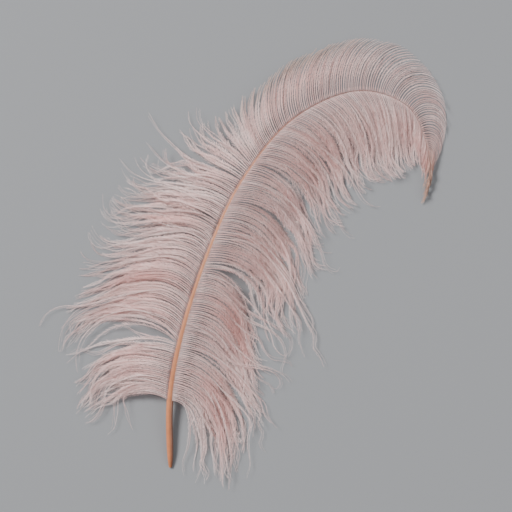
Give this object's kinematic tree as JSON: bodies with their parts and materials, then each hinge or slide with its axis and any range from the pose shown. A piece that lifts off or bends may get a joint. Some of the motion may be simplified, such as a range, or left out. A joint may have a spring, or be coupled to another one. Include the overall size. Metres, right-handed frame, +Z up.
{
  "type": "ostrich feather",
  "caption": "Curled ostrich wing plume dyed pale pink, lying flat: an arched quill with a full vane of loose, fluffy barbs on each side.",
  "frame": {"origin": "on the table, under the middle of the plume's box", "axes": "+Z up from the table, +Y from the quill's bare end towards the crown of the curl, +X towards the side that the tip curls over to"},
  "size_m": [0.414, 0.462, 0.0292],
  "materials": {
    "quill": "satin keratin, copper orange, paler along its lit ridge",
    "barbs": "soft matt down, dyed pale pink, unevenly"
  },
  "bodies": {
    "root": {"quill": "quill", "outer_vane": "barbs", "inner_vane": "barbs"}
  },
  "joints": []
}
